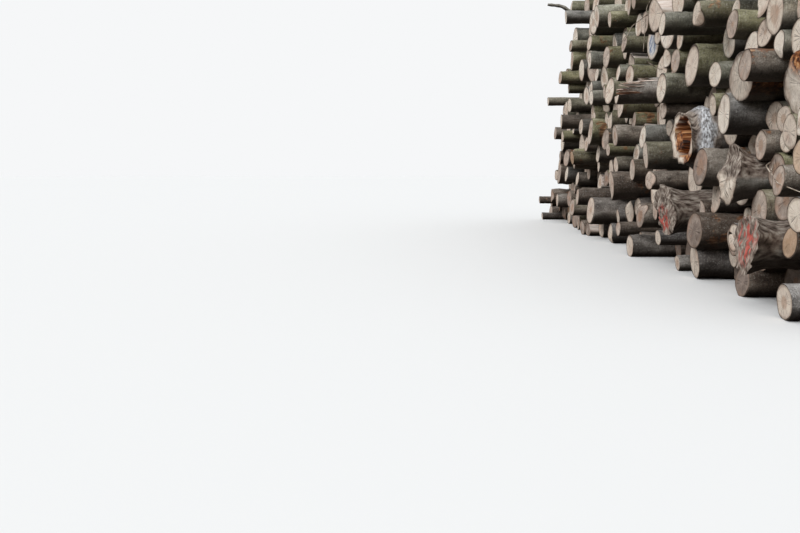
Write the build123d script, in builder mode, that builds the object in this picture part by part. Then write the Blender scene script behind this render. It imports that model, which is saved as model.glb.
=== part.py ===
from build123d import *

import math
import os
import random
from dataclasses import dataclass, field

# One bay of a long roadside stack of beech logs. The stack is one log deep: every log lies across
# the row, so both of its sawn ends show, and it rests in the valley between two logs below it.
# X runs along the logs from the road face (-X) to the back, Y runs along the row, +Z is up.
# The origin is the middle of the stack's footprint on the ground. Sizes are in millimetres.

# Stack
log_length = 4000  # the length that industrial roundwood is cut to
length_spread = 45  # standard deviation of the cut length
near_rise = 2300  # run of the sloping near end, from its foot to its shoulder
near_shoulder = 3600  # height of the near shoulder
crest_start = 9600  # where the top reaches its full height, from the near foot
crest_end = 13000  # where the far end starts to slope down
crest_height = 5250
layers = 12  # the stack's logs are named by the layer that they lie in
far_rise = 2400  # run of the sloping far end, from the crest to its foot
ground_gap = 26  # mean free space between two logs on the ground
wedged = 0.4  # of the mean diameter: logs of a smaller radius lie against their neighbours
fit_gap = 0.3  # clearance between two logs that bear on each other

# Logs
mean_diameter = 356
diameter_spread = 92
least_diameter = 170
most_diameter = 560
taper_per_metre = 4.6  # radius lost for each metre from the butt to the thin end
least_taper = 0.6  # as a share of that
most_taper = 1.4
butts_in_front = 0.6  # share of the logs whose thick end faces the road
reach_spread = 290  # how unevenly the ends stand out of the face
most_reach = 620
lean_spread = 0.0075  # drift of a log's axis sideways or upwards for each mm of its length
widest_corner = math.radians(56)  # a log's outline turns by no more than this at one corner
finest_corner = math.radians(36)  # the same for a log with a root swelling
near_miss = 0.136  # gap, as a share of two radii, under which both logs get a facing flat
drift = 150  # how much two axes and radii can close in on each other over the length of a log

# Root swellings: the wood stands out of the face there, so nothing lies beside it
swelling = 0.34  # of the log's radius
swelling_length = 0.95  # of the log's radius
swelling_gap = 25

# Search for the next resting place
skyline_step = 40
patchiness = 150  # how far above the lowest valley the next log may be laid
roll = 420  # how far a log may roll sideways to its valley
half_course = 170  # how far from its wished height a log may come to lie

random.seed(32)


@dataclass
class Log:
    """A tapered log. Its axis passes through (y, z) at mid-depth and drifts by the two leans."""

    kind: str
    front: float
    back: float
    radius: float  # at mid-depth
    taper: float  # radius gained for each mm towards the back, negative if the butt is in front
    lean_y: float = 0.0
    lean_z: float = 0.0
    swelling: float = 0.0  # length of the root swelling at the front end
    y: float = 0.0
    z: float = 0.0
    on_ground: bool = False
    flats: list = field(default_factory=list)  # directions of the facing flats, in radians

    def radius_at(self, x):
        return self.radius + self.taper * x

    def centre_at(self, x):
        return self.y + self.lean_y * x, self.z + self.lean_z * x


@dataclass
class Wish:
    """A log of its own shape or girth, wanted near a place in the face."""

    kind: str
    along: float  # from the near foot
    height: float  # of its centre
    diameter: float
    reach: float  # how far it stands out towards the road


swollen_kinds = ("low_root_log", "high_root_log", "burl_log", "hollow_log")

# The logs that give the face its character
wishes = [
    Wish("log", 1300, 1210, 310, 500),
    Wish("log", 1450, 1720, 310, 560),
    Wish("split_log", 2850, 650, 310, 400),
    Wish("low_root_log", 1850, 700, 500, 640),
    Wish("log", 2450, 1650, 310, 470),
    Wish("log", 2750, 280, 200, 330),
    Wish("log", 2650, 1100, 430, 330),
    Wish("shaken_log", 1900, 2450, 640, 250),
    Wish("peeled_log", 3300, 2550, 560, 330),
    Wish("burl_log", 3200, 1330, 520, 480),
    Wish("log", 3500, 3250, 330, 260),
    Wish("log", 4000, 780, 290, 300),
    Wish("log", 4050, 1120, 340, 330),
    Wish("log", 4150, 220, 440, 420),
    Wish("high_root_log", 4700, 980, 560, 600),
    Wish("hollow_log", 4600, 1950, 800, 480),
    Wish("log", 5050, 2980, 540, 330),
    Wish("log", 5600, 230, 215, 380),
    Wish("log", 6300, 3600, 500, 180),
    Wish("log", 6500, 210, 335, 560),
    Wish("torn_log", 6600, 2760, 370, 880),
    Wish("log", 7000, 220, 225, 600),
    Wish("log", 7300, 1930, 370, 220),
    Wish("log", 7700, 1400, 360, 240),
    Wish("log", 8800, 3900, 460, 120),
    Wish("log", 9600, 600, 500, 480),
    Wish("log", 10600, 2300, 520, 330),
    Wish("branched_log", 12300, crest_height - 350, 250, 620),
]


def near_foot_to_top(along):
    """Height of the stack's outline at a place along the row, from the near foot."""
    outline = [
        (0, 0),
        (near_rise, near_shoulder),
        (crest_start, crest_height),
        (crest_end, crest_height),
        (crest_end + far_rise, 0),
    ]
    for (a, low), (b, high) in zip(outline, outline[1:]):
        if a <= along <= b:
            return low + (high - low) * (along - a) / (b - a)
    return 0


def draw_log(wish=None):
    """A log of random girth, taper and reach, or the one that a wish asks for."""
    spread = random.gauss(mean_diameter, diameter_spread)
    diameter = min(max(spread, least_diameter), most_diameter)
    reach = min(max(random.gauss(0, reach_spread), -most_reach), most_reach)
    kind = "log"
    if wish:
        kind, diameter, reach = wish.kind, wish.diameter, wish.reach
    front = -log_length / 2 - reach
    taper = taper_per_metre / 1000 * random.uniform(least_taper, most_taper)
    butt_in_front = bool(wish) or random.random() < butts_in_front
    return Log(
        kind=kind,
        front=front,
        back=front + random.gauss(log_length, length_spread),
        radius=diameter / 2,
        taper=-taper if butt_in_front else taper,
        lean_y=random.gauss(0, lean_spread),
        lean_z=random.gauss(0, lean_spread),
        swelling=swelling_length * diameter / 2 if kind in swollen_kinds else 0,
    )


def common_length(a, b):
    return max(a.front, b.front), min(a.back, b.back)


def stations(a, b, count=5):
    low, high = common_length(a, b)
    return [low + (high - low) * i / (count - 1) for i in range(count)]


def gap_at(a, b, x):
    ay, az = a.centre_at(x)
    by, bz = b.centre_at(x)
    return math.hypot(ay - by, az - bz) - a.radius_at(x) - b.radius_at(x)


def closest_place(a, b):
    """Where along their common length two logs come nearest: the gap is a convex function."""
    low, high = common_length(a, b)
    for _ in range(40):
        one, two = low + (high - low) / 3, high - (high - low) / 3
        if gap_at(a, b, one) < gap_at(a, b, two):
            high = two
        else:
            low = one
    return (low + high) / 2


def obstacles(log, placed, y):
    """Circles that the log's centre, at mid-depth, can't enter when it comes down near y."""
    circles = []
    for other in placed:
        if abs(other.y - y) > other.radius + log.radius + roll + drift:
            continue
        for x in stations(log, other):
            centre_y, centre_z = other.centre_at(x)
            apart = log.radius_at(x) + other.radius_at(x) + fit_gap
            circles.append((centre_y - log.lean_y * x, centre_z - log.lean_z * x, apart))
    return circles


def resting_height(y, circles):
    heights = [z + math.sqrt(r * r - (y - cy) ** 2) for cy, z, r in circles if abs(y - cy) < r]
    return max(heights, default=0)


def settle(log, placed, y):
    """Lets the log roll down from y into the nearest valley."""
    circles = obstacles(log, placed, y)
    step = skyline_step / 2
    place = y
    while step > 0.02:
        lower = min((place, place - step, place + step), key=lambda p: resting_height(p, circles))
        if lower == place:
            step /= 2
        elif abs(lower - y) > roll:
            break
        else:
            place = lower
    log.y = place
    log.z = resting_height(place, circles)


def beside(y, z, radius, other_y, other_z, other_radius):
    """Whether a log there would touch another's root swelling."""
    return math.hypot(y - other_y, z - other_z) < radius + (1 + swelling) * other_radius


def keep_clear(log, placed):
    """Pulls a log back until its front end lies behind the root swellings around it."""
    nominal = -log_length / 2
    limits = [log.front]
    for other in placed:
        if other.swelling and beside(log.y, log.z, log.radius, other.y, other.z, other.radius):
            limits.append(other.front + other.swelling + swelling_gap)
    for wish in wishes:
        if wish.kind in swollen_kinds and not log.swelling:
            radius = wish.diameter / 2
            if beside(log.y, log.z, log.radius, wish.along, wish.height, radius + half_course):
                limits.append(nominal - wish.reach + swelling_length * radius + swelling_gap)
    shift = max(limits) - log.front
    log.front += shift
    log.back += shift
    return shift > 0


def fit_swelling(log, placed):
    """Shortens a root swelling to the part that stands clear of the logs around it."""
    for other in placed:
        if beside(other.y, other.z, other.radius, log.y, log.z, log.radius):
            log.swelling = min(log.swelling, other.front - swelling_gap - log.front)


def lay(log, placed, y):
    settle(log, placed, y)
    if keep_clear(log, placed):
        settle(log, placed, log.y)
    if log.swelling:
        fit_swelling(log, placed)
    placed.append(log)


def set_apart(log, before, gap):
    """Rolls a log along the ground until it lies that gap from the one before it."""
    for _ in range(6):
        log.y += gap - gap_at(log, before, closest_place(log, before))


def lay_ground_course():
    """The logs on the ground, side by side. Each leans by its taper, so it lies flat."""
    course = []
    along = 0
    ground_wishes = sorted((w for w in wishes if w.height < w.diameter * 0.72), key=lambda w: w.along)
    while along < crest_end + far_rise:
        log = draw_log()
        nearest = ground_wishes[0] if ground_wishes else None
        if nearest and along + nearest.diameter > nearest.along:
            log = draw_log(ground_wishes.pop(0))
            wishes.remove(nearest)
        log.on_ground = True
        log.lean_y = 0
        log.lean_z = log.taper
        log.z = log.radius
        if course:
            before = course[-1]
            loose = len(course) > 1 and min(log.radius, before.radius) > wedged * mean_diameter
            log.y = before.y + before.radius + log.radius
            set_apart(log, before, random.uniform(0.3, 1.7) * ground_gap if loose else fit_gap)
        along = log.y + log.radius
        course.append(log)
    set_apart(course[-1], course[-2], fit_gap)
    return course


def raise_skyline(skyline, log):
    for i in range(len(skyline)):
        offset = i * skyline_step - log.y
        if abs(offset) < log.radius:
            skyline[i] = max(skyline[i], log.z + math.sqrt(log.radius**2 - offset**2))


def height_over(skyline, radius, i):
    """Height of the centre of a log of that radius lowered at one place of the skyline."""
    reach = int(radius // skyline_step)
    places = range(max(i - reach, 0), min(i + reach + 1, len(skyline)))
    return max(
        skyline[k] + math.sqrt(radius**2 - ((k - i) * skyline_step) ** 2) for k in places
    )


def valleys(skyline, radius):
    """The low places that a log of that radius can lie in, inside the stack's outline."""
    heights = [height_over(skyline, radius, i) for i in range(len(skyline))]
    found = []
    for i in range(1, len(skyline) - 1):
        along = i * skyline_step
        lowest = heights[i] <= heights[i - 1] and heights[i] <= heights[i + 1]
        if lowest and heights[i] + radius / 2 < near_foot_to_top(along):
            found.append((heights[i], along))
    return found


def due_wish(skyline):
    """A wished log whose valley the stack has now grown up to, and where that valley is."""
    for wish in wishes:
        low_places = valleys(skyline, wish.diameter / 2)
        height, along = min(low_places, key=lambda spot: abs(spot[1] - wish.along), default=(0, 0))
        if height > wish.height - half_course and abs(along - wish.along) < roll:
            return wish, along
    return None, 0


def stack_logs():
    """Builds the stack from the ground up, each log in one of the lowest valleys."""
    placed = lay_ground_course()
    skyline = [0.0] * (int((crest_end + far_rise) / skyline_step) + 1)
    for log in placed:
        raise_skyline(skyline, log)
    while True:
        wish, along = due_wish(skyline)
        log = draw_log(wish)
        if wish:
            wishes.remove(wish)
        else:
            low_places = valleys(skyline, log.radius)
            if not low_places:
                break
            along = min(low_places, key=lambda spot: spot[0] + random.uniform(0, patchiness))[1]
        lay(log, placed, along)
        raise_skyline(skyline, log)
    return placed


def find_flats(placed):
    """Gives each pair of close logs flats that face each other, and fills up each outline."""
    for log in placed:
        if log.on_ground:
            log.flats.append(-math.pi / 2)
    for i, a in enumerate(placed):
        for b in placed[i + 1 :]:
            limit = (1 + near_miss) * (a.radius + b.radius) + drift
            if abs(a.y - b.y) > limit or abs(a.z - b.z) > limit:
                continue
            x = closest_place(a, b)
            if gap_at(a, b, x) < near_miss * (a.radius + b.radius):
                ay, az = a.centre_at(x)
                by, bz = b.centre_at(x)
                towards = math.atan2(bz - az, by - ay)
                a.flats.append(towards)
                b.flats.append(math.remainder(towards + math.pi, math.tau))
    for log in placed:
        corner = finest_corner if log.swelling else widest_corner
        log.flats = filled(sorted(log.flats), corner)


def filled(flats, corner):
    """The same directions, with more between any two that are farther apart than corner."""
    if not flats:
        flats = [0.0]
    result = []
    for i, start in enumerate(flats):
        turn = (flats[(i + 1) % len(flats)] - start) % math.tau or math.tau
        count = math.ceil(turn / corner)
        result += [start + turn * k / count for k in range(count)]
    return result


def outline(radius, flats):
    """Corners of the outline whose flats all touch a circle of that radius."""
    corners = []
    for i, start in enumerate(flats):
        half = ((flats[(i + 1) % len(flats)] - start) % math.tau) / 2
        reach = radius / math.cos(half)
        corners.append((reach * math.cos(start + half), reach * math.sin(start + half)))
    return corners


def end_outline(log, w):
    """Outline of a log at the distance w from its thick end, seen along the axis from there."""
    turned = log.taper > 0
    flats = sorted((math.pi - a) % math.tau for a in log.flats) if turned else log.flats
    butt = log.radius_at(log.back if turned else log.front)
    return outline(butt - abs(log.taper) * w, flats)


def grow(log, start=0):
    """The plain stem, standing on its thick end, from the height start upwards."""
    slope = math.sqrt(1 + log.lean_y**2 + log.lean_z**2)
    length = (log.back - log.front) * slope
    with BuildPart() as stem:
        with BuildSketch(Plane.XY.offset(start)):
            Polygon(*end_outline(log, start), align=None)
        extrude(amount=length - start, taper=math.degrees(math.atan(abs(log.taper) / slope)))
    return stem.part


def swell(log, buttresses, phase=0.6):
    """A stem whose root swelling spreads out in as many buttresses towards the felling cut."""
    neck = log.radius_at(log.front) - abs(log.taper) * log.swelling
    with BuildPart() as butt:
        with BuildSketch():
            Circle(2 * neck)
        extrude(amount=log.swelling)
        for flat in log.flats:
            bulge = 0.5 + 0.5 * math.cos(buttresses * (flat - phase))
            foot = neck * (1 + swelling * (0.3 + 0.7 * bulge))
            outwards = (math.cos(flat), math.sin(flat), (foot - neck) / log.swelling)
            at_foot = (foot * math.cos(flat), foot * math.sin(flat), 0)
            split(bisect_by=Plane(origin=at_foot, z_dir=outwards), keep=Keep.BOTTOM)
        add(grow(log, log.swelling))
    return butt.part


def make_plain(log):
    return grow(log)


def make_low_root(log):
    return swell(log, 3)


def make_high_root(log):
    return swell(log, 2)


def make_burl(log):
    return swell(log, 2, phase=1.5)


def make_hollow(log):
    """The giant of the stack: a swollen butt with a crescent of rotten wood gone."""
    radius = log.radius
    rot_depth = 1.3 * radius
    with BuildPart() as butt:
        add(swell(log, 2))
        with BuildSketch():
            with Locations((-0.12 * radius, 0.1 * radius)):
                Ellipse(0.62 * radius, 0.72 * radius)
            with Locations((0.14 * radius, -0.08 * radius)):
                Ellipse(0.5 * radius, 0.6 * radius, mode=Mode.SUBTRACT)
        extrude(amount=rot_depth, mode=Mode.SUBTRACT)
    return butt.part


def make_split(log):
    """A log sprung open along a V-shaped split that runs in from the sawn end."""
    r = log.radius
    split_width = 9
    split_depth = 3.4 * r
    ridge = [(-1.3 * r, 0), (-0.55 * r, 0.12 * r), (0, -0.22 * r), (0.5 * r, 0.14 * r), (1.3 * r, 0.2 * r)]
    with BuildPart() as halves:
        add(grow(log))
        with BuildSketch():
            upper = [(y, z + split_width) for y, z in reversed(ridge)]
            Polygon(*ridge, *upper, align=None)
        extrude(amount=split_depth, mode=Mode.SUBTRACT)
    return halves.part


def make_shaken(log):
    """A log with heart shakes: cracks that open from the middle of the sawn end."""
    shake_width = 14
    shake_depth = 1.1 * log.radius
    with BuildPart() as stem:
        add(grow(log))
        with BuildSketch():
            for turn, share in ((75, 0.86), (200, 0.7), (318, 0.78)):
                with Locations(Rotation(0, 0, turn)):
                    tip = share * log.radius
                    Polygon((0, -shake_width / 2), (tip, 0), (0, shake_width / 2), align=None)
        extrude(amount=shake_depth, mode=Mode.SUBTRACT)
    return stem.part


def make_torn(log):
    """A log that broke off: long splinters stand out where the saw cut didn't reach."""
    r = log.radius
    side = [
        (1.6 * r, -60),
        (1.6 * r, 3.3 * r),
        (0.5 * r, 2.5 * r),
        (0.62 * r, 1.5 * r),
        (0.1 * r, 1.9 * r),
        (0.16 * r, 0.75 * r),
        (-0.32 * r, 1.1 * r),
        (-0.3 * r, -60),
    ]
    with BuildPart() as stem:
        add(grow(log))
        with BuildSketch(Plane.YZ):
            Polygon(*side, align=None)
        extrude(amount=2 * r, both=True, mode=Mode.SUBTRACT)
    return stem.part


def make_branched(log):
    """A thin top log that keeps a bent branch at its front end."""
    branch_radius = 0.36 * log.radius
    fork_place = 260  # from the front end
    first, second = 420, 380
    with BuildPart() as stem:
        add(grow(log))
        fork = Plane(origin=(0, 0, fork_place), x_dir=(1, 0, 0), z_dir=(0.1, 0.75, -1))
        with BuildSketch(fork):
            RegularPolygon(branch_radius, 7)
        extrude(amount=first, taper=1.2)
        bend = Plane(origin=fork.from_local_coords((0, 0, first - 30)), z_dir=(0.25, 0.15, -1))
        with BuildSketch(bend):
            RegularPolygon(0.8 * branch_radius, 7)
        extrude(amount=second, taper=1.5)
    return stem.part


makers = {
    "low_root_log": make_low_root,
    "high_root_log": make_high_root,
    "burl_log": make_burl,
    "hollow_log": make_hollow,
    "split_log": make_split,
    "shaken_log": make_shaken,
    "torn_log": make_torn,
    "branched_log": make_branched,
}


def make_log(log):
    """A log made butt down as it grew, and then laid in its place in the stack."""
    turned = log.taper > 0
    side = -1 if turned else 1
    x = log.back if turned else log.front
    y, z = log.centre_at(x)
    axis = Vector(1, log.lean_y, log.lean_z).normalized() * side
    place = Plane(origin=(x, y, z), x_dir=(0, side, 0), z_dir=axis)
    return place.location * makers.get(log.kind, make_plain)(log)


stack = stack_logs()
find_flats(stack)
nodes = {}
for log in stack:
    layer = 1 + min(int(layers * log.z / crest_height), layers - 1)
    name = f"layer_{layer:02d}" if log.kind == "log" else log.kind
    nodes.setdefault(name, []).append(make_log(log))

corners = [corner for solids in nodes.values() for solid in solids for corner in solid.vertices()]
xs = [corner.X for corner in corners]
ys = [corner.Y for corner in corners]
to_origin = Pos(-(min(xs) + max(xs)) / 2, -(min(ys) + max(ys)) / 2, 0)
os.makedirs("parts", exist_ok=True)
for name, solids in sorted(nodes.items()):
    node = Compound(label=name, children=[to_origin * solid for solid in solids])
    export_step(node, f"parts/{name}.step")
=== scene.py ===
import math
import random

import bpy
import numpy as np
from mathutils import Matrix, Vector


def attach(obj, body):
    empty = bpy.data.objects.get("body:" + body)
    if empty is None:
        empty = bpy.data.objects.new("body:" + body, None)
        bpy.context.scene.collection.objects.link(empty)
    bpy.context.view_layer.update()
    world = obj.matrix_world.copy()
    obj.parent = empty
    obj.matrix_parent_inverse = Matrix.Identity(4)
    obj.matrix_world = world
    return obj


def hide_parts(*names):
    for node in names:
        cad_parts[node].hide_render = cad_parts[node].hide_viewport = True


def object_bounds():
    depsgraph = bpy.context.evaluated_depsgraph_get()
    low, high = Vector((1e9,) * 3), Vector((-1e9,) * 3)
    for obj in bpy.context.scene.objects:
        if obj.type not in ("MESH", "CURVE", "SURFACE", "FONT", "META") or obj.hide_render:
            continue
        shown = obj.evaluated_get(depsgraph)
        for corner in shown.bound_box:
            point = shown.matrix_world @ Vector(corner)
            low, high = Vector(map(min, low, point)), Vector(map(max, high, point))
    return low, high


# Looks of one bay of a long stack of beech logs. The CAD part gives every log's place, girth and
# ends. This script puts round, barked, sawn logs over those plain faceted ones. Sizes are in
# metres, and those of the patterns in the materials in millimetres.
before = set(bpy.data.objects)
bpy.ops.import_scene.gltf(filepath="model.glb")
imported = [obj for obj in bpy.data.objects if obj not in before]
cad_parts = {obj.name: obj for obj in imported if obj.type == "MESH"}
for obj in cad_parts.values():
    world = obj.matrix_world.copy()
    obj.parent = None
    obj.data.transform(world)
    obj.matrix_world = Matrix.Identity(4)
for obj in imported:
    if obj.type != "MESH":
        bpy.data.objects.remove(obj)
random.seed(11)
box_at_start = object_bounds()


# The stems. Each is a length of beech trunk in its bark, crosscut at both ends with a chain saw.
# A few stems are shaped once, with the uneven girth and the low bumps of a real trunk, and are
# then copied onto every log.
stem_radius = 0.18
stem_length = 4.0
bark_thickness = 0.007
near_sides, far_sides, fine_sides = 34, 20, 80
# The rings of corners along a stem, as distances from its end
front_rings = (0.004, 0.012, 0.03, 0.07, 0.13, 0.19, 0.25, 0.31, 0.37, 0.43, 0.49, 0.56)
front_rings += (0.63, 0.7, 0.78, 0.88, 1.0, 1.15, 1.4)
back_rings = (0.006, 0.03, 0.1, 0.22, 0.4, 0.75, 1.2)
far_rings = (0.006, 0.03, 0.1, 0.22, 0.4, 0.7, 1.2)
fine_rings = tuple(0.004 + 0.012 * i + 0.0035 * i * i for i in range(22))
# The rings of a sawn end, from its bark inwards, as shares of the radius from one to the next
end_rings = (0.18, 0.3, 0.3)
fine_end_rings = (0.092,) * 10
# How a trunk is uneven: the size of its bumps, and the most that they differ in height
unevenness = (("girth", 0.55, 0.05), ("bumps", 0.16, 0.016), ("bark ridges", 0.035, 0.006))
pattern_step = 7.3  # between two stems in the cloudy patterns, so that no two are alike
far_start = 50  # where the far stems lie in those patterns
fine_start = 90  # and where the fine one does


def select_only(*objects):
    bpy.ops.object.select_all(action="DESELECT")
    for obj in objects:
        obj.select_set(True)
    bpy.context.view_layer.objects.active = objects[0]


def select_faces(mesh, test):
    """Selects the faces for which test is true, in edit mode, and nothing else."""
    bpy.ops.mesh.select_all(action="DESELECT")
    bpy.ops.object.mode_set(mode="OBJECT")
    for face in mesh.polygons:
        face.select = test(face)
    bpy.ops.object.mode_set(mode="EDIT")


def displace(obj, name, size, depth, group):
    """Pushes the surface in and out by a cloudy pattern of that size, half the depth each way."""
    clouds = bpy.data.textures.new(name, "CLOUDS")
    clouds.noise_scale = size
    clouds.noise_depth = 2
    modifier = obj.modifiers.new(name, "DISPLACE")
    modifier.texture = clouds
    modifier.texture_coords = "LOCAL"
    modifier.strength = depth
    modifier.mid_level = 0.5
    modifier.vertex_group = group
    bpy.ops.object.modifier_apply(modifier=name)


def store(mesh, name, values):
    """Keeps a number or a vector for each vertex, for the materials to read."""
    kind, key = ("FLOAT", "value") if values.ndim == 1 else ("FLOAT_VECTOR", "vector")
    mesh.attributes.new(name, kind, "POINT").data.foreach_set(key, values.ravel())


def make_stem(name, sides, rings, start, steps=end_rings, back=None):
    """A barked stem along X with its middle at the origin. start sets where its bumps fall."""
    bpy.ops.object.select_all(action="DESELECT")
    bpy.ops.mesh.primitive_cylinder_add(
        vertices=sides,
        radius=stem_radius,
        depth=stem_length,
        end_fill_type="NGON",
        rotation=(0, math.pi / 2, 0),
    )
    stem = bpy.context.object
    stem.name = name
    bpy.ops.object.transform_apply(rotation=True)
    bpy.ops.object.mode_set(mode="EDIT")
    for side, places in ((-1, rings), (1, back or rings)):
        for ring in places:
            bpy.ops.mesh.select_all(action="SELECT")
            place = (side * (stem_length / 2 - ring), 0, 0)
            bpy.ops.mesh.bisect(plane_co=place, plane_no=(1, 0, 0))
    select_faces(stem.data, lambda face: abs(face.normal.x) > 0.9)  # the sawn ends
    bpy.ops.mesh.inset(thickness=bark_thickness)
    for step in steps:
        bpy.ops.mesh.inset(thickness=stem_radius * step)
    bpy.ops.mesh.poke()
    bpy.ops.object.mode_set(mode="OBJECT")
    shares = np.array([math.hypot(v.co.y, v.co.z) / stem_radius for v in stem.data.vertices])
    store(stem.data, "round", shares)
    outer = np.flatnonzero(shares > 1 - 2 * bark_thickness / stem_radius)
    stem.vertex_groups.new(name="bark").add(outer.tolist(), 1.0, "REPLACE")
    stem.location.x = start
    bpy.ops.object.transform_apply(location=True)
    for kind, size, depth in unevenness:
        displace(stem, kind, size, depth, "bark")
    stem.location.x = -start
    bpy.ops.object.transform_apply(location=True)
    return stem


near_stems = [
    make_stem(f"near_stem_{i}", near_sides, front_rings, pattern_step * i, back=back_rings)
    for i in range(7)
]
far_stems = [
    make_stem(f"far_stem_{i}", far_sides, far_rings, pattern_step * i + far_start)
    for i in range(4)
]
fine_stem = make_stem(
    "fine_stem", fine_sides, fine_rings, fine_start, fine_end_rings, back_rings
)
stems = near_stems + far_stems + [fine_stem]


# Reading the CAD logs. Each node holds loose logs with flat facets that touch a slender cone all
# round, so the cone, which is the real log's bark, follows from the facets.
doubles_apart = 0.00002  # corners that lie no farther apart than this are one corner
long_facet = 1.5  # facets that run farther than this along a log are its bark, not a cut


def split_node(node):
    """Copies of the separate logs that a CAD node holds, with their doubles merged."""
    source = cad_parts[node]
    copy = bpy.data.objects.new("loose_" + node, source.data.copy())
    bpy.context.collection.objects.link(copy)
    select_only(copy)
    bpy.ops.object.mode_set(mode="EDIT")
    bpy.ops.mesh.select_all(action="SELECT")
    bpy.ops.mesh.remove_doubles(threshold=doubles_apart)
    bpy.ops.mesh.separate(type="LOOSE")
    bpy.ops.object.mode_set(mode="OBJECT")
    return list(bpy.context.selected_objects)


def measure(piece, forked):
    """The cone that a log's long facets touch, and where the log starts and ends."""
    rows, values, front = [], [], math.inf
    points = [vertex.co for vertex in piece.data.vertices]
    for face in piece.data.polygons:
        corners = [points[i] for i in face.vertices]
        reach = [corner.x for corner in corners]
        if max(reach) - min(reach) > long_facet:
            front = min(front, min(reach))
            ny, nz = face.normal.y, face.normal.z
            across = math.hypot(ny, nz)
            for x, y, z in corners:  # each gives one equation for the cone
                rows.append((ny, ny * x, nz, nz * x, across, across * x))
                values.append(ny * y + nz * z)
    y, lean_y, z, lean_z, radius, taper = np.linalg.lstsq(np.array(rows), np.array(values), None)[0]
    ends = [point.x for point in points]
    if not forked:  # a branch would reach out past the sawn end
        front = min(ends)
    return {
        "front": front,
        "back": max(ends),
        "axis": (y, lean_y, z, lean_z),
        "radius": (radius, taper),
    }


def read_logs(node):
    """The measures of each log in a CAD node."""
    pieces = split_node(node)
    logs = [measure(piece, node == "branched_log") for piece in pieces]
    for piece in pieces:
        bpy.data.objects.remove(piece)
    return logs


# The front ends. Most are plain saw cuts. Eight logs have swollen, hollow, split, torn or peeled
# ends, each with a function of its own that works on the vertices near that end.
in_bark = 0.98  # vertices farther out than this share of the radius are in the bark


def held(values):
    """The values held between 0 and 1."""
    return np.clip(values, 0, 1)


def ripple(u, v, fineness):
    """A smooth random pattern, about -1 to 1, over two coordinates."""
    total = np.zeros_like(u)
    for _ in range(5):
        way, phase = random.uniform(0, math.tau), random.uniform(0, math.tau)
        pitch = fineness * random.uniform(0.6, 1.6)
        total += np.sin(pitch * (u * math.cos(way) + v * math.sin(way)) + phase)
    return total / 3


def turn_from(side, turn):
    """The angle from that side to each vertex, between -pi and pi."""
    return np.angle(np.exp(1j * (turn - side)))


class Cut:
    """The front end of a log: where each vertex lies on it, and what its wood has been through.

    depth is a vertex's distance behind the cut, turn its angle round the log, and share, y and z
    its place across it as shares of the radius. girth scales the log there, and push moves the
    vertex into the log. Another value gives its distance from near-black painted shade, which
    fills an open split and the bottom of a hollow, and the others say from 0 to 1 how much of a
    finish shows there.
    """

    def __init__(self, depth, turn, share, radius):
        self.depth, self.turn, self.radius = depth, turn, radius
        self.y, self.z = share * np.cos(turn), share * np.sin(turn)
        self.side = share > in_bark
        self.girth, self.from_painted_shade = np.ones((2, len(depth)))
        self.push, self.torn, self.rotten, self.weathered = np.zeros((4, len(depth)))
        self.red, self.blue = np.zeros((2, len(depth)))


def swell(cut, buttresses, phase):
    """A butt that spreads in buttresses towards the felling cut."""
    toe = held(1 - cut.depth / (0.95 * cut.radius)) ** 1.3
    ridge = (0.5 + 0.5 * np.cos(buttresses * (cut.turn - phase))) ** 1.5
    wavy = 0.03 * np.sin(7 * cut.turn + phase) + 0.02 * np.sin(12 * cut.turn)
    cut.girth = 1 + toe * (0.3 * (0.3 + 0.7 * ridge) + wavy)


def roughen(cut, depth):
    """A felling cut that weather has furrowed, mostly up and down."""
    rough = ripple(3 * cut.y, cut.z, 4) + 0.6 * ripple(2 * cut.y, cut.z, 11)
    cut.push = depth * rough * held(1 - cut.depth / 0.1)


def shape_low_root(cut):
    """A grey, furrowed root butt, marked with red spray over most of its cut."""
    swell(cut, 3, 0.6)
    roughen(cut, 0.02)
    cut.weathered += 0.9
    cut.red = held(2.2 - 2.0 * np.hypot(cut.y / 0.75, (cut.z - 0.1) / 0.95))


def shape_high_root(cut):
    """The same with a deeper furrowed cut, marked on its lower part."""
    swell(cut, 2, 0.6)
    roughen(cut, 0.035)
    cut.weathered += 1.0
    cut.red = held(2.0 - 2.0 * np.hypot((cut.y - 0.1) / 0.7, (cut.z + 0.35) / 0.7))


def shape_burl(cut):
    """The upper lobe is grown over and slopes back; only the lower one shows its cut."""
    swell(cut, 2, 1.5)
    roughen(cut, 0.02)
    back = held(0.25 + 1.1 * cut.z + 0.2 * ripple(cut.y, cut.z, 5))
    cut.push += 0.4 * cut.radius * back * held(1 - cut.depth / 0.3)
    cut.weathered = held(0.15 + 3 * back)


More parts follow.
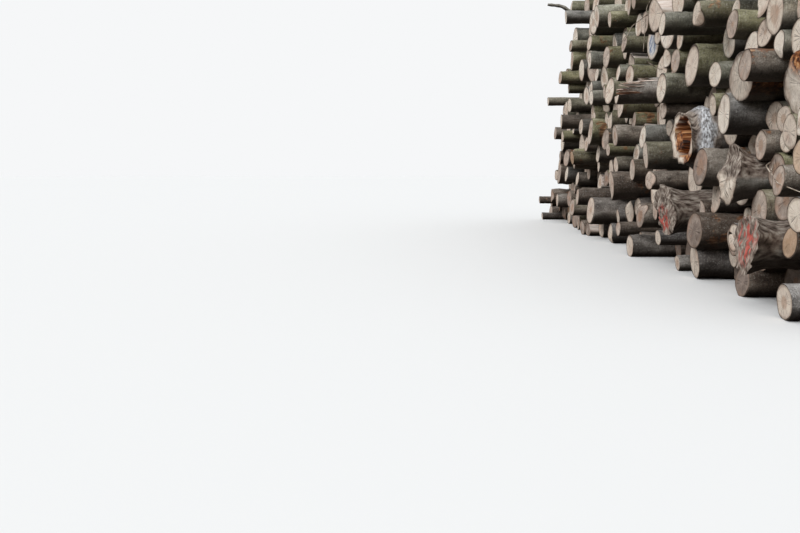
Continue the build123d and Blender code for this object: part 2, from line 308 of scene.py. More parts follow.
def shape_hollow(cut):
    """A crescent of rotten heart is gone, and behind the narrowed cut a collar is torn bare."""
    swell(cut, 2, 0.6)
    outer = np.hypot((cut.y + 0.12) / 0.58, (cut.z - 0.1) / 0.68)  # the crescent lies between
    inner = np.hypot((cut.y - 0.14) / 0.45, (cut.z + 0.08) / 0.54)  # these two ovals
    outer += 0.05 * ripple(cut.y, cut.z, 9)
    gone = held((1.12 - outer) * 7) * held((inner - 0.72) * 6)
    front = held(1 - cut.depth / 0.05)
    cut.push = front * (1.3 * cut.radius * gone + 0.012 * ripple(cut.y, cut.z, 12))
    cut.girth -= 0.34 * held(1.4 - cut.depth / 0.16)
    cut.girth += 0.1 * np.exp(-(((cut.depth - 0.27) / 0.07) ** 2))
    cut.girth += 0.03 * ripple(6 * cut.turn, cut.depth, 2) * held(2 - cut.depth / 0.2)
    ragged = 0.34 + 0.06 * ripple(cut.y, cut.z, 6) + 0.1 * (cut.z < -0.3)
    cut.weathered = held((ragged - cut.depth) / 0.02) * cut.side
    cut.torn = cut.weathered * held((cut.depth - 0.09 - 0.05 * cut.z) / 0.04)
    scar = held(1.5 - np.abs(cut.turn + 2.3) * 4) * held(3 - 2 * cut.depth)
    cut.rotten = np.maximum(held((1.27 - outer) * 9) * ~cut.side, scar)
    # Painted shade: the bottom of the hollow is painted near-black.
    cut.from_painted_shade = 1 - 0.9955 * held(3 * gone - 1.6)  # the bottom of the hollow is dark


def shape_split(cut):
    """A V-shaped split runs across the end and into the log."""
    ridge = np.interp(cut.y, (-1.3, -0.55, 0, 0.5, 1.3), (0, 0.12, -0.22, 0.14, 0.2))
    # Painted shade: the cleft of the split is painted near-black along its line.
    cut.from_painted_shade = (cut.z - ridge) * cut.radius - 0.0045
    at_end = (cut.depth < 0.01) & ~cut.side
    cut.push = 0.05 * np.exp(-((cut.from_painted_shade / 0.01) ** 2)) * at_end


def shape_shaken(cut):
    """A grey end with a patch of rot at its top."""
    roughen(cut, 0.01)
    cut.weathered += 0.35
    cut.rotten = held(1.6 - np.hypot((cut.y - 0.2) / 0.4, (cut.z - 0.75) / 0.35))


def shape_torn(cut):
    """Where the saw didn't reach, the log broke off in long splinters."""
    broken = np.interp(
        cut.z,
        (-1.1, -0.34, -0.3, 0.12, 0.18, 0.58, 0.64, 1.1),
        (0, 0, 1.1, 0.75, 1.9, 1.6, 2.5, 2.95),
    )
    splinters = 1.1 * ripple(cut.y, cut.z, 6) + 1.1 * ripple(cut.y, cut.z, 19)
    splinters *= held((cut.z + 0.32) / 0.1)
    broken = np.maximum(broken + splinters, 0) * cut.radius
    cut.push = np.maximum(broken - cut.depth, 0)
    cut.torn = (cut.push > 0.008).astype(float)
    cut.rotten = 0.7 * cut.torn * (np.abs(cut.z + 0.1) < 0.26)


def shape_peeled(cut):
    """The bark has come off one side of the end, down to orange-brown rotting wood."""
    ragged = 0.42 + 0.1 * ripple(cut.y, cut.z, 6)
    side = np.abs(turn_from(2.9, cut.turn))
    bare = held((ragged - cut.depth) / 0.02) * held((1.15 - side) / 0.08)
    cut.girth = 1 - 0.045 * bare
    cut.rotten = bare * cut.side
    cut.weathered += 0.45


shapes = {
    "low_root_log": shape_low_root,
    "high_root_log": shape_high_root,
    "burl_log": shape_burl,
    "hollow_log": shape_hollow,
    "split_log": shape_split,
    "shaken_log": shape_shaken,
    "torn_log": shape_torn,
    "peeled_log": shape_peeled,
}


# Laying the stems. A copy of a stem takes a log's length, taper, place and lean. It is turned to
# a new side, made a little oval, and its ends are cut a little askew, as a saw leaves them.
fullness = 1.035  # of the barked log, against the cone that the CAD facets touch
most_oval = 0.045  # the most that a log is oval, as a share of its radius
most_lobed = 0.03  # and the most that it is three-sided
once_round = 6.3  # radians, from which a side is drawn
knot_width = 0.065
knot_height = 0.016
knot_span = (0.75, 1.9)  # where knots lie, from the middle of a stem towards its front
askew = 0.11  # largest slope of a saw cut
cut_reach = 0.25  # how far from its end a stem leans with its cut
bevelled = 0.14  # share of the ends that keep the slope of a felling or trimming cut
billet_share = 0.03  # of the logs have a side split off
billet_places = ((-5.08, 3.19), (-0.7, 4.04))  # along the row and up: two logs that surely have
dab_places = ((-6.04, 3.19), (0.07, 3.7))  # two ends with a blue dab
fewer_scars = 0.3  # share of the usual chance of scars in the bark of the eight special logs
grain_span = 90  # of the grain from which each log takes a stretch of its own
lowest = 0.001  # the logs at the bottom are pressed flat at this height


def grow_knots(x, turn):
    """How far healed knots on the front half raise the bark, and how sunk in one a vertex is."""
    raised, knotted = np.zeros((2, len(x)))
    for _ in range(random.randint(1, 4)):
        place, side = random.uniform(*knot_span), random.uniform(-3.1, 3.1)
        width = knot_width * random.uniform(0.7, 1.5)
        away = np.hypot(x + place, stem_radius * turn_from(side, turn)) / width
        lip, sunk = np.exp(-(((away - 1) / 0.45) ** 2)), np.exp(-((away / 0.6) ** 2))
        raised += knot_height / stem_radius * (lip - 0.8 * sunk)
        knotted = np.maximum(knotted, sunk)
    return raised, knotted


def lies_at(log, places, radius):
    """Whether the log lies at one of those places along the row and up."""
    y, z = log["axis"][0], log["axis"][2]
    return any(math.hypot(y - place[0], z - place[1]) < 0.8 * radius for place in places)


def split_side(cut):
    """Takes off one side of the log along its whole length, as a splitter does."""
    half, side = random.uniform(0.7, 1.0), random.uniform(1.7, 2.9)
    aside = np.abs(turn_from(side, cut.turn))
    cut.girth = np.where(aside < half, math.cos(half) / np.cos(np.minimum(aside, half)), 1)
    cut.torn = held((half + 0.02 - aside) / 0.04) * cut.side


def saw_ends(places, along, log, side_y, side_z, radius, may_bevel):
    """Leans both ends as a saw leaves them. A few keep the slope of a felling cut."""
    for end, inward in ((log["front"], 1), (log["back"], -1)):
        near_end = held(1 - (along - end) * inward / cut_reach)
        slope_y, slope_z = random.uniform(-askew, askew), random.uniform(-askew, askew)
        places = places + near_end * (slope_y * side_y + slope_z * side_z)
        if may_bevel and random.random() < bevelled:
            facing, slope = random.uniform(0, once_round), random.uniform(0.4, 1.0)
            outward = math.cos(facing) * side_y + math.sin(facing) * side_z
            bevel = end + inward * slope * (outward - random.uniform(0.45, 0.8) * radius)
            places = np.maximum(places, bevel) if inward == 1 else np.minimum(places, bevel)
    return places


def stem_turned(mesh):
    """Whether a stem's faces point inwards, as they do after it is turned end for end."""
    face = max(mesh.polygons, key=lambda face: abs(face.normal.x) * face.area)
    middle = sum(vertex.co.x for vertex in mesh.vertices) / len(mesh.vertices)
    return (face.center.x - middle) * face.normal.x < 0


def lay_stem(stem, log, name, shape=None):
    """A copy of the stem, bent onto the measured log, with what its materials need."""
    mesh = stem.data.copy()
    mesh.name = name
    count = len(mesh.vertices)
    points, rounded = np.empty(count * 3), np.empty(count)
    mesh.vertices.foreach_get("co", points)
    mesh.attributes["round"].data.foreach_get("value", rounded)
    x, y, z = points.reshape(-1, 3).T
    out = np.hypot(y, z) / stem_radius
    turn = np.arctan2(z, y)
    if stem in far_stems and random.random() < 0.5:
        x, turn = -x, -turn
    oval, lobes = random.uniform(0, most_oval), random.uniform(0, most_lobed)
    oval_side, lobe_side = random.uniform(0, once_round), random.uniform(0, once_round)
    raised, knotted = grow_knots(x, turn)
    out *= 1 + oval * np.cos(2 * turn + oval_side) + lobes * np.cos(3 * turn + lobe_side) + raised
    spin = 0 if shape else random.uniform(0, once_round)
    along = log["front"] + (x / stem_length + 0.5) * (log["back"] - log["front"])
    cone = log["radius"][0] + log["radius"][1] * along
    thin_radius = np.min(cone)
    front = Cut(along - log["front"], turn + spin, np.minimum(rounded, 1), thin_radius)
    if shape:
        shape(front)
    split_by_chance = shape is None and random.random() < billet_share
    if split_by_chance or lies_at(log, billet_places, thin_radius):
        split_side(front)
    if lies_at(log, dab_places, thin_radius):
        front.blue = held(2.4 - 3 * rounded)
    out *= front.girth
    side_y = out * cone * fullness * np.cos(turn + spin)
    side_z = out * cone * fullness * np.sin(turn + spin)
    ends = saw_ends(
        along + front.push, along, log, side_y, side_z, np.mean(cone), shape is None
    )
    axis = log["axis"]
    across, up = axis[0] + axis[1] * along + side_y, axis[2] + axis[3] * along + side_z
    placed = np.stack((ends, across, np.maximum(up, lowest)), axis=1)
    mesh.vertices.foreach_set("co", placed.ravel())
    lengthwise = along - log["front"] + random.uniform(0, grain_span)
    grain = (lengthwise, out * cone * np.cos(turn), out * cone * np.sin(turn))
    scars = fewer_scars if shape else 1
    chances = (random.random(), random.random(), random.random() * scars)
    store(mesh, "grain", np.stack(grain, axis=1))
    store(mesh, "life", np.tile(chances, (count, 1)))
    store(mesh, "knot", knotted)
    store(mesh, "marks", np.stack((front.torn, front.rotten, front.weathered), axis=1))
    # The third value of paint places the near-black painted shade of a split or a hollow.
    store(mesh, "paint", np.stack((front.red, front.blue, front.from_painted_shade), axis=1))
    laid = bpy.data.objects.new(name, mesh)
    bpy.context.collection.objects.link(laid)
    if stem_turned(mesh):
        mesh.flip_normals()
    return laid


# Materials. Colours are sRGB hex values. Each log carries its own grain coordinates, in metres
# along and across it, and three chances of its own in the attribute life.
def linear(hex_colour):
    """The linear colour, as a shader takes it, of an sRGB hex value."""
    channels = [int(hex_colour[i : i + 2], 16) / 255 for i in (1, 3, 5)]
    return [c / 12.92 if c <= 0.04045 else ((c + 0.055) / 1.055) ** 2.4 for c in channels] + [1]


def add_node(material, kind, inputs=None, stops=None, **settings):
    """Adds a shader node. Each input is a value, or the node or socket that feeds it.

    stops are the places and colours of a colour ramp.
    """
    tree = material.node_tree
    made = tree.nodes.new(kind)
    for name, value in settings.items():
        setattr(made, name, value)
    for place, colour in stops or []:
        made.color_ramp.elements.new(place).color = linear(colour)
    if stops:
        made.color_ramp.elements.remove(made.color_ramp.elements[0])
        made.color_ramp.elements.remove(made.color_ramp.elements[-1])
    for name, value in (inputs or {}).items():
        taken = {socket.name: socket for socket in reversed(made.inputs) if socket.enabled}
        socket = made.inputs[name] if isinstance(name, int) else taken[name]
        if isinstance(value, bpy.types.Node):
            value = next(output for output in value.outputs if output.enabled)
        if isinstance(value, bpy.types.NodeSocket):
            tree.links.new(value, socket)
        else:
            socket.default_value = value
    return made


def new_material(name):
    material = bpy.data.materials.new(name)
    material.use_nodes = True
    material.node_tree.nodes.clear()
    return material


def finish_material(material, colour, roughness, height, bump_depth):
    """A dull surface of that colour, with the height as its relief in metres."""
    bump = add_node(material, "ShaderNodeBump", {"Height": height, "Distance": bump_depth})
    finish = {"Base Color": colour, "Roughness": roughness, "Specular IOR Level": 0.4}
    surface = add_node(material, "ShaderNodeBsdfPrincipled", {**finish, "Normal": bump})
    add_node(material, "ShaderNodeOutputMaterial", {"Surface": surface})


def streaks(material, grain, size, colours):
    """A colour that runs through a few hues in streaks of that size in mm on each axis."""
    pitch = tuple(1000 / length for length in size)
    room = add_node(material, "ShaderNodeVectorMath", {0: grain, 1: pitch}, operation="MULTIPLY")
    noise = add_node(
        material, "ShaderNodeTexNoise", {"Vector": room, "Scale": 1.0, "Detail": 3.0}
    )
    return add_node(material, "ShaderNodeValToRGB", {"Fac": noise}, stops=colours)


def coat(material, colour, coats):
    """Lays coats over a colour. Each starts at one value of a measure and is full at another.

    most is how far a full coat covers, and hue is a hex value or what feeds the colour.
    """
    for measure, start, full, most, hue in coats:
        share = add_node(
            material,
            "ShaderNodeMapRange",
            {"Value": measure, "From Min": start, "From Max": full, "To Max": most},
        )
        hue = linear(hue) if isinstance(hue, str) else hue
        colour = add_node(
            material,
            "ShaderNodeMix",
            {"Factor": share, "A": colour, "B": hue},
            data_type="RGBA",
        )
    return colour


def bared(material, colour, grain):
    """Adds torn, bleached, rotten and weathered wood where the marks say so."""
    marks = add_node(material, "ShaderNodeAttribute", attribute_name="marks").outputs["Vector"]
    mark = add_node(material, "ShaderNodeSeparateXYZ", {"Vector": marks})
    torn = streaks(
        material,
        grain,
        (330, 18, 18),
        [(0.33, "#7d6050"), (0.42, "#c4afa1"), (0.54, "#efe4da"), (0.68, "#d3ccc8")],
    )
    rotten = streaks(
        material,
        grain,
        (70, 42, 42),
        [(0.36, "#2b170e"), (0.46, "#6e3d21"), (0.56, "#a86a3c"), (0.66, "#d0a070")],
    )
    bleached = streaks(
        material,
        grain,
        (21, 50, 50),
        [(0.32, "#55504d"), (0.43, "#8b8a8b"), (0.54, "#b9bcc0"), (0.66, "#e0e2e5")],
    )
    weathered = streaks(
        material,
        grain,
        (110, 24, 70),
        [(0.34, "#35291f"), (0.45, "#6e6057"), (0.56, "#93877c"), (0.68, "#bdb4a8")],
    )
    torn = coat(material, torn, [(mark.outputs["Z"], 0, 1, 1, bleached)])
    coats = [
        (mark.outputs["Z"], 0, 1, 1, weathered),
        (mark.outputs["X"], 0, 1, 1, torn),
        (mark.outputs["Y"], 0, 1, 1, rotten),
    ]
    return coat(material, colour, coats)


def beech_bark():
    """Beech bark is thin, smooth and grey, wrinkled around the stem, and grows algae and lichen.

    It gives the stack its dull grey-greens: greener the higher a log lies, brown with mud lower
    down, painted shade in its wrinkles and on the undersides, and here and there scarred to the
    orange-brown wood.
    """
    # Size in mm along and across the stem, levels of detail and roughness of each pattern
    patterns = (
        ((360, 160, 160), 7.0, 0.68),
        ((18, 125, 125), 4.0, 0.6),  # coarser than real wrinkles, so that they show
        ((25, 25, 25), 4.0, 0.7),
        ((12, 12, 12), 3.0, 0.6),
        ((480, 480, 480), 6.0, 0.65),
    )

    bark = new_material("beech bark")
    grain = add_node(bark, "ShaderNodeAttribute", attribute_name="grain").outputs["Vector"]
    knot = add_node(bark, "ShaderNodeAttribute", attribute_name="knot").outputs["Fac"]
    life = add_node(bark, "ShaderNodeAttribute", attribute_name="life").outputs["Vector"]
    chance = add_node(bark, "ShaderNodeSeparateXYZ", {"Vector": life}).outputs
    place = add_node(bark, "ShaderNodeTexCoord").outputs["Object"]
    height = add_node(bark, "ShaderNodeSeparateXYZ", {"Vector": place}).outputs["Z"]
    facing = add_node(bark, "ShaderNodeNewGeometry").outputs["Normal"]
    upward = add_node(bark, "ShaderNodeSeparateXYZ", {"Vector": facing}).outputs["Z"]
    drawn = []
    for size, detail, roughness in patterns:
        pitch = tuple(1000 / length for length in size)
        room = add_node(bark, "ShaderNodeVectorMath", {0: grain, 1: pitch}, operation="MULTIPLY")
        wants = {"Vector": room, "Scale": 1.0, "Detail": detail, "Roughness": roughness}
        drawn.append(add_node(bark, "ShaderNodeTexNoise", wants))
    patches, wrinkles, speckle, dots, scars = drawn

    grey, green, brown = (
        add_node(bark, "ShaderNodeValToRGB", {"Fac": patches}, stops=stops)
        for stops in (
            [(0.32, "#4a433c"), (0.45, "#6e665d"), (0.56, "#8b837a"), (0.7, "#aba49b")],
            [(0.32, "#46442f"), (0.45, "#6b684d"), (0.56, "#878467"), (0.7, "#a8a58c")],
            [(0.32, "#352a24"), (0.45, "#56493f"), (0.56, "#73665b"), (0.7, "#968a7f")],
        )
    )
    high = add_node(
        bark,
        "ShaderNodeMapRange",
        {"Value": height, "From Min": 0.4, "From Max": 3.4, "To Min": -0.25, "To Max": 0.6},
    )
    algae = add_node(bark, "ShaderNodeMath", {0: high, 1: chance["X"]}, operation="ADD")
    clean = add_node(bark, "ShaderNodeMath", {0: high, 1: chance["Y"]}, operation="ADD")
    coats = [
        (algae, 0.45, 0.75, 1, green),
        (clean, 0.75, 0.25, 1, brown),
        (speckle, 0.53, 0.7, 0.6, "#b9b5aa"),
        (dots, 0.53, 0.62, 0.6, "#3b352d"),
        # Painted shade: the wrinkles turn dark where their relief sinks, in the creases.
        (wrinkles, 0.44, 0.3, 0.6, "#2a221c"),
    ]
    colour = coat(bark, grey, coats)

    tone = add_node(
        bark, "ShaderNodeMapRange", {"Value": chance["Y"], "To Min": 0.85, "To Max": 1.6}
    )
    fade = add_node(
        bark, "ShaderNodeMapRange", {"Value": chance["Z"], "From Max": 0.5, "To Min": 0.25}
    )
    toned = add_node(
        bark, "ShaderNodeHueSaturation", {"Saturation": fade, "Value": tone, "Color": colour}
    )
    bare = streaks(
        bark,
        grain,
        (170, 33, 33),
        [(0.36, "#3a2114"), (0.48, "#7a4a2c"), (0.58, "#a87850"), (0.68, "#c9a988")],
    )
    prone = add_node(
        bark, "ShaderNodeMath", {0: chance["Z"], 1: 0.16, 2: scars}, operation="MULTIPLY_ADD"
    )
    colour = coat(bark, toned, [(knot, 0, 1, 1, "#241b14"), (prone, 0.7, 0.74, 0.8, bare)])
    colour = bared(bark, colour, grain)
    # Painted shade: the bark turns near-black on the faces that turn down, as in the shadow under
    # each log.
    colour = coat(bark, colour, [(upward, 0.1, -0.6, 0.88, "#1a1410")])
    relief = add_node(bark, "ShaderNodeMath", {0: wrinkles, 1: speckle}, operation="ADD")
    finish_material(bark, colour, roughness=0.66, height=relief, bump_depth=0.006)
    return bark


def sawn_beech():
    """Crosscut beech is cream when fresh, then tans and greys, and often has a brown heart.

    It gives the stack its pale discs: faint year rings, drying cracks that run out from the pith,
    a dark edge of bark, spray paint on the ends that were marked, and near-black painted shade in
    an open split and a hollow.
    """
    # Size in mm, levels of detail and roughness of each pattern
    patterns = (
        (110, 4.0, 0.6),
        (14, 3.0, 0.7),  # coarser than real pores, so that they show
        (310, 5.0, 0.65),
    )
    year_rings = 15  # to the radius, about 12 mm apart: coarser than real, so that they show
    crack_fineness = 4.5  # cracks and rays run out from the pith, so they have no size in mm
    ray_fineness = 17.0
    stroke_size = (333.3, 38.5, 142.9)  # mm, of the strokes in the spray paint

    wood = new_material("sawn beech end")
    grain = add_node(wood, "ShaderNodeAttribute", attribute_name="grain").outputs["Vector"]
    out = add_node(wood, "ShaderNodeAttribute", attribute_name="round").outputs["Fac"]
    life = add_node(wood, "ShaderNodeAttribute", attribute_name="life").outputs["Vector"]
    chance = add_node(wood, "ShaderNodeSeparateXYZ", {"Vector": life}).outputs
    place = add_node(wood, "ShaderNodeTexCoord").outputs["Object"]
    height = add_node(wood, "ShaderNodeSeparateXYZ", {"Vector": place}).outputs["Z"]
    drawn = []
    for size, detail, roughness in patterns:
        wants = {"Vector": grain, "Scale": 1000 / size, "Detail": detail, "Roughness": roughness}
        drawn.append(add_node(wood, "ShaderNodeTexNoise", wants))
    smear, fibre, blotches = drawn

    age = add_node(wood, "ShaderNodeMath", {0: chance["Z"], 1: smear}, operation="ADD")
    lower = add_node(
        wood,
        "ShaderNodeMapRange",
        {"Value": height, "From Min": 0.3, "From Max": 2.6, "To Min": 0.45, "To Max": 0.0},
    )
    age = add_node(wood, "ShaderNodeMath", {0: age, 1: lower}, operation="ADD")
    age = add_node(wood, "ShaderNodeMath", {0: age, 1: 0.5}, operation="MULTIPLY")
    fresh = add_node(
        wood,
        "ShaderNodeValToRGB",
        {"Fac": age},
        stops=[
            (0.2, "#f8f0e4"),
            (0.42, "#efe3d3"),
            (0.6, "#dccdbf"),
            (0.75, "#b3a499"),
            (0.92, "#7d7068"),
        ],
    )

    wobble = add_node(
        wood, "ShaderNodeMath", {0: smear, 1: 0.25, 2: out}, operation="MULTIPLY_ADD"
    )
    rings = add_node(
        wood, "ShaderNodeMath", {0: wobble, 1: math.tau * year_rings}, operation="MULTIPLY"
    )
    rings = add_node(wood, "ShaderNodeMath", {0: rings}, operation="SINE")
    heart_size = add_node(
        wood,
        "ShaderNodeMapRange",
        {"Value": chance["Y"], "From Min": 0.35, "From Max": 1.0, "To Max": 0.62},
    )
    heart = add_node(wood, "ShaderNodeMath", {0: heart_size, 1: wobble}, operation="SUBTRACT")

    across = (0.0, 1.0, 1.0)
    ray = add_node(wood, "ShaderNodeVectorMath", {0: grain, 1: across}, operation="MULTIPLY")
    ray = add_node(wood, "ShaderNodeVectorMath", {0: ray}, operation="NORMALIZE")
    ray = add_node(wood, "ShaderNodeVectorMath", {0: ray, 1: life}, operation="ADD")
    spokes = add_node(
        wood, "ShaderNodeTexNoise", {"Vector": ray, "Scale": crack_fineness, "Detail": 2.0}
    )
    fine_rays = add_node(
        wood, "ShaderNodeTexNoise", {"Vector": ray, "Scale": ray_fineness, "Detail": 3.0}
    )
    spokes = add_node(wood, "ShaderNodeMath", {0: spokes, 1: 0.5}, operation="SUBTRACT")
    spokes = add_node(wood, "ShaderNodeMath", {0: spokes}, operation="ABSOLUTE")
    cracked = add_node(
        wood, "ShaderNodeMapRange", {"Value": spokes, "From Min": 0.012, "From Max": 0.004}
    )
    crack_reach = add_node(
        wood, "ShaderNodeMapRange", {"Value": wobble, "From Min": 0.95, "From Max": 0.75}
    )
    crack = add_node(wood, "ShaderNodeMath", {0: cracked, 1: crack_reach}, operation="MULTIPLY")
    coats = [
        (rings, -1.0, 1.0, 0.13, "#7a5a3a"),
        (heart, -0.12, 0.02, 0.45, "#a87a58"),
        (crack, 0.0, 1.0, 1.0, "#3a2a1d"),
        (blotches, 0.5, 0.68, 0.5, "#b98f78"),
        (fine_rays, 0.5, 0.7, 0.34, "#8f7c6b"),
        (chance["X"], 0.97, 0.975, 0.32, "#cf9d5f"),
        (wobble, 0.9, 1.06, 0.55, "#7d6857"),
        (out, 0.93, 0.965, 1.0, "#43372e"),
        (fibre, 0.56, 0.75, 0.35, "#6f5c47"),
    ]
    colour = bared(wood, coat(wood, fresh, coats), grain)

    paint = add_node(wood, "ShaderNodeAttribute", attribute_name="paint").outputs["Vector"]
    spray = add_node(wood, "ShaderNodeSeparateXYZ", {"Vector": paint}).outputs
    pitch = tuple(1000 / length for length in stroke_size)
    room = add_node(wood, "ShaderNodeVectorMath", {0: grain, 1: pitch}, operation="MULTIPLY")
    strokes = add_node(wood, "ShaderNodeTexNoise", {"Vector": room, "Scale": 1.0, "Detail": 3.0})
    stroke = add_node(
        wood,
        "ShaderNodeMapRange",
        {"Value": strokes, "From Min": 0.49, "From Max": 0.56, "To Max": 0.8},
    )
    red = add_node(wood, "ShaderNodeMath", {0: spray["X"], 1: stroke}, operation="MULTIPLY")
    blue = add_node(wood, "ShaderNodeMath", {0: spray["Y"], 1: stroke}, operation="MULTIPLY")
    from_painted_shade = add_node(wood, "ShaderNodeMath", {0: spray["Z"]}, operation="ABSOLUTE")
    coats = [
        (spray["Y"], 0, 1, 1, "#dfe2e6"),
        (red, 0, 1, 1, "#c8564b"),
        (blue, 0, 1, 1, "#15508f"),
        # Painted shade: near-black in an open split and at the bottom of a hollow.
        (from_painted_shade, 0.007, 0.004, 1, "#0e0a07"),
    ]
    colour = coat(wood, colour, coats)
    relief = add_node(wood, "ShaderNodeMath", {0: fibre, 1: crack}, operation="SUBTRACT")
    finish_material(wood, colour, roughness=0.8, height=relief, bump_depth=0.004)
    return wood


bark_material = beech_bark()
end_material = sawn_beech()
for stem in stems:
    stem.data.materials.append(bark_material)
    stem.data.materials.append(end_material)
    for face in stem.data.polygons:
        across = math.hypot(face.normal.y, face.normal.z)
        face.material_index = 1 if abs(face.normal.x) > across else 0
        face.use_smooth = face.material_index == 0


# The layers. Every log of the bay is laid with a stem: the near logs with a finely shaped one,
# the rest with a plainer one, and those with special ends with the finest.
near_end = -1.0  # logs on the camera's side of this place along the row get the finer stems

for node in sorted(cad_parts):
    laid = []
    for i, log in enumerate(read_logs(node)):
        stem = random.choice(near_stems if log["axis"][0] < near_end else far_stems)
        if node in shapes:
            stem = fine_stem
        laid.append(lay_stem(stem, log, f"{node}_{i}", shapes.get(node)))
    select_only(*laid)
    if len(laid) > 1:
        bpy.ops.object.join()
    layer = bpy.context.object
    layer.name = "barked_" + node
    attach(layer, "root")
    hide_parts(node)

for stem in stems:
    bpy.data.objects.remove(stem)


# The bent branch. A thin top log keeps one branch, in its bark like the log. It leaves the log
# near the front end, points up and out, bends level, and was broken off.
branch_radius = 0.045
branch_place = 0.26  # from the log's front end
branch_bends = ((0.42, (-1.0, 0.1, 0.75)), (0.36, (-1.0, 0.25, 0.15)))  # length, direction
branch_rounding = 0.07  # how far from a bend the branch starts to turn
branch_sides = 14
branch_rings = 24


def lay_stick(name, route, radius, sides, rings, rounding):
    """A thin round stick along a route of points, thinner towards its end."""
    bpy.ops.object.select_all(action="DESELECT")
    bpy.ops.mesh.primitive_cylinder_add(
        vertices=sides, radius=radius, depth=1, end_fill_type="NGON", location=(0, 0, 0.5)
    )
    stick = bpy.context.object
    stick.name = name
    bpy.ops.object.transform_apply(location=True)
    bpy.ops.object.mode_set(mode="EDIT")
    for i in range(1, rings):
        bpy.ops.mesh.select_all(action="SELECT")
        bpy.ops.mesh.bisect(plane_co=(0, 0, i / rings), plane_no=(0, 0, 1))
    bpy.ops.object.mode_set(mode="OBJECT")
    points = np.array(route, dtype=float)
    places = np.cumsum([0, *np.linalg.norm(np.diff(points, axis=0), axis=1)])

    def spot(far):
        return Vector([np.interp(far, places, points[:, i]) for i in range(3)])

    for vertex in stick.data.vertices:
        far = vertex.co.z * places[-1]
        before, behind = spot(far - rounding), spot(far + rounding)
        middle = (before + spot(far) + behind) / 3
        heading = (behind - before).normalized()
        aside = heading.cross(Vector((0, 1, 0))).normalized()
        over = heading.cross(aside)
        knobbly = 0.07 * math.sin(31 * vertex.co.z)
        girth = 1.1 - 0.45 * vertex.co.z + knobbly
        vertex.co = middle + girth * (vertex.co.x * aside + vertex.co.y * over)
    for face in stick.data.polygons:
        face.use_smooth = len(face.vertices) == 4
    return stick


(branched,) = read_logs("branched_log")
start_x = branched["front"] + branch_place
y, lean_y, z, lean_z = branched["axis"]
path = [Vector((start_x, y + lean_y * start_x, z + lean_z * start_x))]
for length, direction in branch_bends:
    path.append(path[-1] + length * Vector(direction).normalized())
branch = lay_stick(
    "bent_branch", path, branch_radius, branch_sides, branch_rings, branch_rounding
)
count = len(branch.data.vertices)
store(branch.data, "grain", np.array([2 * vertex.co for vertex in branch.data.vertices]))
store(branch.data, "life", np.tile((0.5, 0.4, 0.1), (count, 1)))
store(branch.data, "marks", np.tile((0, 0, 0.25), (count, 1)))
branch.data.materials.append(bark_material)
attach(branch, "root")


# The dead creepers. Thin climbing stems came with the trunks and dried out. They hang from the
# upper logs in front of the sawn ends, and a forked one leans on the logs lower down.
creeper_radius = 0.008
creeper_rounding = 0.04
creeper_sides = 8
creeper_rings = 40
creeper_routes = (  # points given one by one
    ((-1.7, -0.6, 4.6), (-1.93, -0.58, 4.38), (-1.99, -0.35, 4.2), (-1.99, -0.25, 3.45)),
    ((-1.7, -0.3, 4.1), (-1.97, -0.3, 4.07), (-2.22, -0.3, 3.88), (-2.34, -0.3, 3.62)),
    ((-2.01, -0.5, 3.27), (-1.83, -0.52, 3.16), (-1.5, -0.54, 3.04)),
    ((-1.8, -4.9, 1.6), (-2.01, -5.12, 1.52), (-2.23, -5.88, 1.34), (-2.1, -6.2, 1.24)),
    ((-2.08, -5.4, 1.46), (-2.05, -5.38, 1.5), (-2.04, -5.36, 1.56)),
)


def dry_creeper():
    """The dry bark of a dead climbing stem is thin and papery, and patchy from brown to pale."""
    stem = new_material("dry creeper stem")
    place = add_node(stem, "ShaderNodeTexCoord").outputs["Object"]
    hues = streaks(
        stem, place, (80, 80, 80), [(0.35, "#4a3f37"), (0.5, "#9b8d7e"), (0.65, "#cfc3b4")]
    )
    finish_material(stem, hues, roughness=0.8, height=hues, bump_depth=0.001)
    return stem


creeper_material = dry_creeper()
creepers = []
for i, route in enumerate(creeper_routes):
    name = f"creeper_{i}"
    creeper = lay_stick(
        name, route, creeper_radius, creeper_sides, creeper_rings, creeper_rounding
    )
    creeper.data.materials.append(creeper_material)
    creepers.append(creeper)
select_only(*creepers)
bpy.ops.object.join()
creeper = bpy.context.object
creeper.name = "dead_creepers"
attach(creeper, "root")


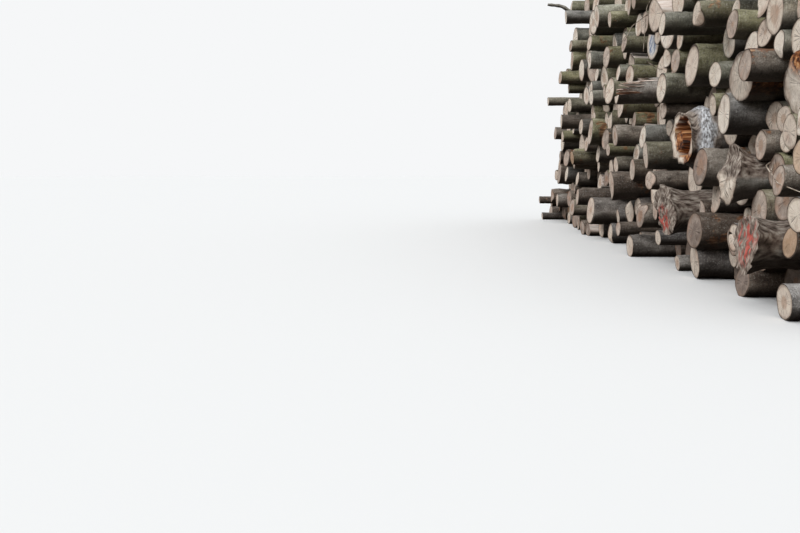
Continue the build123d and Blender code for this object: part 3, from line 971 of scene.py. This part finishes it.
# The floor under the stack. It is pale and plain to the camera, but the light that it throws
# back on the logs is dim and brown.
floor_size = 160
floor_material = new_material("pale floor")
seen = add_node(floor_material, "ShaderNodeLightPath").outputs["Is Camera Ray"]
floor_colour = add_node(
    floor_material,
    "ShaderNodeMix",
    {"Factor": seen, "A": linear("#54483c"), "B": linear("#e3e4e4")},
    data_type="RGBA",
)
floor_surface = add_node(
    floor_material, "ShaderNodeBsdfPrincipled", {"Base Color": floor_colour, "Roughness": 0.9}
)
add_node(floor_material, "ShaderNodeOutputMaterial", {"Surface": floor_surface})
bpy.ops.object.select_all(action="DESELECT")
bpy.ops.mesh.primitive_plane_add(size=floor_size)
floor = bpy.context.object
floor.name = "floor"
floor.data.materials.append(floor_material)


# The light of an overcast day. It comes from all round but mostly from overhead, and a soft, wide
# sun adds a little from the front of the stack.
sun_turn = (math.radians(20), math.radians(-53), 0)
sun_power = 1.9
sun_width = math.radians(40)
world = bpy.data.worlds.new("overcast sky")
bpy.context.scene.world = world
world.use_nodes = True
world.node_tree.nodes.clear()
sky_place = add_node(world, "ShaderNodeTexCoord").outputs["Generated"]
sky_height = add_node(world, "ShaderNodeSeparateXYZ", {"Vector": sky_place}).outputs["Z"]
sky_light = add_node(
    world,
    "ShaderNodeMapRange",
    {"Value": sky_height, "From Max": 0.8, "To Min": 0.02, "To Max": 1.15},
)
rays = add_node(world, "ShaderNodeLightPath").outputs
behind = rays["Is Camera Ray"]  # the camera sees an even white behind the stack
for other in ("Is Glossy Ray", "Is Transmission Ray"):
    behind = add_node(world, "ShaderNodeMath", {0: behind, 1: rays[other]}, operation="MAXIMUM")
sky_strength = add_node(world, "ShaderNodeMix", {"Factor": behind, "A": sky_light, "B": 1.0})
sky = add_node(
    world, "ShaderNodeBackground", {"Color": linear("#f6f7f8"), "Strength": sky_strength}
)
add_node(world, "ShaderNodeOutputWorld", {"Surface": sky})

bpy.ops.object.light_add(type="SUN", rotation=sun_turn)
lamp = bpy.context.object
lamp.name = "soft_sun"
lamp.data.energy = sun_power
lamp.data.angle = sun_width


# The camera. It looks along the face of the stack, from where the photograph was taken.
eye_height = 1.55
eye_aside = 4.4  # from the nominal face of the stack
nominal_face = -1.804  # where the front ends would lie if none stuck out
eye_before = 6.2  # from the near end of the stack
focal_pixels = 780
image_width = 800
sensor_width = 36
looks_down = math.radians(7.56)
bpy.ops.object.camera_add(
    location=(nominal_face - eye_aside, box_at_start[0].y - eye_before, eye_height),
    rotation=(math.pi / 2 - looks_down, 0, 0),
)
camera = bpy.context.object
camera.data.sensor_width = sensor_width
camera.data.lens = focal_pixels / image_width * sensor_width
bpy.context.scene.camera = camera
bpy.context.scene.view_settings.view_transform = "Standard"
